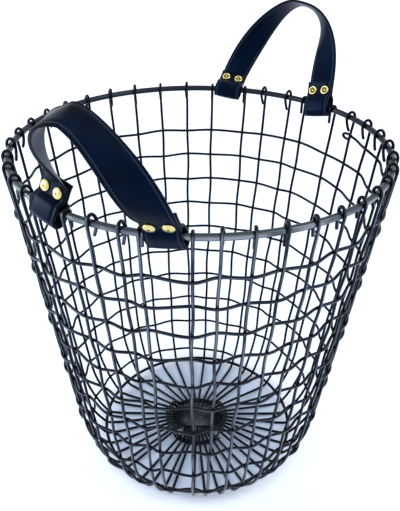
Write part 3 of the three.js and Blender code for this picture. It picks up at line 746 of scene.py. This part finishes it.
def turned_piece(name, outline, place, material):
    """Round piece turned about the Y axis of its place, closed where its outline meets that axis."""
    vertices, faces, shares = [], [], []
    rows = []
    for radius, height in outline:
        count = RIVET_TURNS if radius else 1
        rows.append(list(range(len(vertices), len(vertices) + count)))
        for j in range(count):
            turn = math.tau * j / RIVET_TURNS
            spot = Vector((radius * math.cos(turn), height, radius * math.sin(turn)))
            vertices.append(place @ spot)
            shares.append(radius / CAP_RADIUS)
    for low, high in zip(rows, rows[1:]):
        for j in range(RIVET_TURNS):
            k = (j + 1) % RIVET_TURNS
            corners = [low[j % len(low)], high[j % len(high)], high[k % len(high)], low[k % len(low)]]
            faces.append(tuple(dict.fromkeys(corners)))
    made = new_piece(name, vertices, faces, material)
    grid = made.data.uv_layers.new(name="rivet_uv").data
    for loop in made.data.loops:
        grid[loop.index].uv = (shares[loop.vertex_index], 0)
    return made


# The cap is darkened at its crown as a painted dark reflection, the post's head in its recess as
# painted shade.
cap_brass = rivet_brass("cap_brass", -0.1, 0.24)
head_brass = rivet_brass("head_brass", 0.22, 0.6)
for name, (ends, handle_frame) in handle_frames.items():
    number = 0
    for end in ends:
        for shift in (-RIVET_SPACING / 2, RIVET_SPACING / 2):
            number += 1
            spot = end.at(0, RIVET_HEIGHT) + end.side * shift
            side, out = end.side, end.out
            if end is ends[1]:
                spot, side, out = mirrored(spot), mirrored(side), mirrored(out)
            axes = Matrix((side, out, side.cross(out))).transposed().to_4x4()
            place = handle_frame @ Matrix.Translation(spot) @ axes
            for kind, outline, finish in (("cap", cap_outline, cap_brass),
                                          ("post", post_outline, head_brass)):
                rivet = turned_piece(f"{name}_brass_{kind}_{number}", outline, place, finish)
                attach(rivet, f"{name}_handle")
                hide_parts(f"{name}_rivet_{kind}_{number}")

# Studio: a wide pale floor that runs to white and keeps the basket's cast shadow, with a bluish
# shadow pool painted under the basket where the floor's glow stops, white all round, a soft lamp low
# on the left, a weaker one high on the right, and the camera where the photograph was taken.
FLOOR_SIZE = 6
FLOOR_DROP = 0.0002
# Radii where the floor's glow starts and is full; inside them lies the painted shadow pool.
SHADE_RADIUS = 0.082
PALE_RADIUS = 0.12
PALE_END = 0.4
WHITE_RADIUS = 1.3
LAMP_AIM = (0, 0, 0.25)
CAMERA_SPOT = (0.2271, -0.4595, 0.5268)
CAMERA_TURN = math.radians(26.22)
CAMERA_PITCH = math.radians(31.42)
CAMERA_ROLL = math.radians(0.75)
FRAME_HEIGHT = 511
FOCUS_PIXELS = 645.6


def seen_rays(tone):
    """1 for what the camera sees, also in metal and glass, and 0 for the light on the object."""
    rays = [tone.node("ShaderNodeLightPath", {}, {}, kind)
            for kind in ("Is Camera Ray", "Is Glossy Ray", "Is Transmission Ray")]
    return tone.math("MINIMUM", rays[0] + rays[1] + rays[2], 1.0)


floor_paint, floor_sockets, tone = new_finish("floor_paper")
seen = seen_rays(tone)
floor_place = tone.node("ShaderNodeTexCoord", {}, {}, "Object")
distance = tone.node("ShaderNodeVectorMath", {"operation": "LENGTH"}, {0: floor_place}, "Value")
# Seen from the camera the floor glows beyond the base but not under it, so its bluish colour paints a
# shadow pool there.
glow_round_painted_shadow = (seen * distance.between(SHADE_RADIUS, PALE_RADIUS)).mix((0, 0, 0), (0.45, 0.43, 0.42))
white = (seen * distance.between(PALE_END, WHITE_RADIUS)).mix(glow_round_painted_shadow, (0.7, 0.65, 0.6))
floor_sockets["Base Color"].default_value = (0.75, 0.84, 0.97, 1)
floor_sockets["Roughness"].default_value = 0.9
floor_sockets["Specular IOR Level"].default_value = 0.1
floor_sockets["Emission Strength"].default_value = 1
feed(floor_sockets, Emission_Color=white)
edge = FLOOR_SIZE / 2
floor_corners = [Vector((x, y, -FLOOR_DROP))
                 for x, y in ((-edge, -edge), (edge, -edge), (edge, edge), (-edge, edge))]
floor = new_piece("studio_floor", floor_corners, [(0, 1, 2, 3)], floor_paint)

world = bpy.data.worlds.new("studio_white")
bpy.context.scene.world = world
world.use_nodes = True
room = seen_rays(Tone(world.node_tree)).mix((0.56, 0.64, 0.76), (1, 1, 1))
feed(world.node_tree.nodes["Background"].inputs, Color=room)


def soft_lamp(name, spot, size, watts, colour):
    lamp = bpy.data.lights.new(name, "AREA")
    lamp.shape = "DISK"
    lamp.size = size
    lamp.energy = watts
    lamp.color = colour
    made = bpy.data.objects.new(name, lamp)
    made.location = spot
    made.rotation_euler = (Vector(LAMP_AIM) - Vector(spot)).to_track_quat("-Z", "Y").to_euler()
    bpy.context.scene.collection.objects.link(made)


soft_lamp("key_lamp", (-1.35, -0.8, 0.6), 0.7, 18, (0.86, 0.95, 1))
soft_lamp("side_lamp", (1.25, 0.1, 1.4), 0.9, 8, (0.95, 0.98, 1))

ahead = Vector((-math.sin(CAMERA_TURN) * math.cos(CAMERA_PITCH),
                math.cos(CAMERA_TURN) * math.cos(CAMERA_PITCH), -math.sin(CAMERA_PITCH)))
right = Vector((math.cos(CAMERA_TURN), math.sin(CAMERA_TURN), 0))
upright = right.cross(ahead)
level = right * math.cos(CAMERA_ROLL) + upright * math.sin(CAMERA_ROLL)
upright = upright * math.cos(CAMERA_ROLL) - right * math.sin(CAMERA_ROLL)
lens = bpy.data.cameras.new("photo_camera")
lens.sensor_width = 36
lens.lens = FOCUS_PIXELS / FRAME_HEIGHT * lens.sensor_width
camera = bpy.data.objects.new("photo_camera", lens)
camera_axes = Matrix((level, upright, -ahead)).transposed().to_4x4()
camera.matrix_world = Matrix.Translation(CAMERA_SPOT) @ camera_axes
bpy.context.scene.collection.objects.link(camera)
bpy.context.scene.camera = camera
bpy.context.scene.view_settings.view_transform = "Standard"
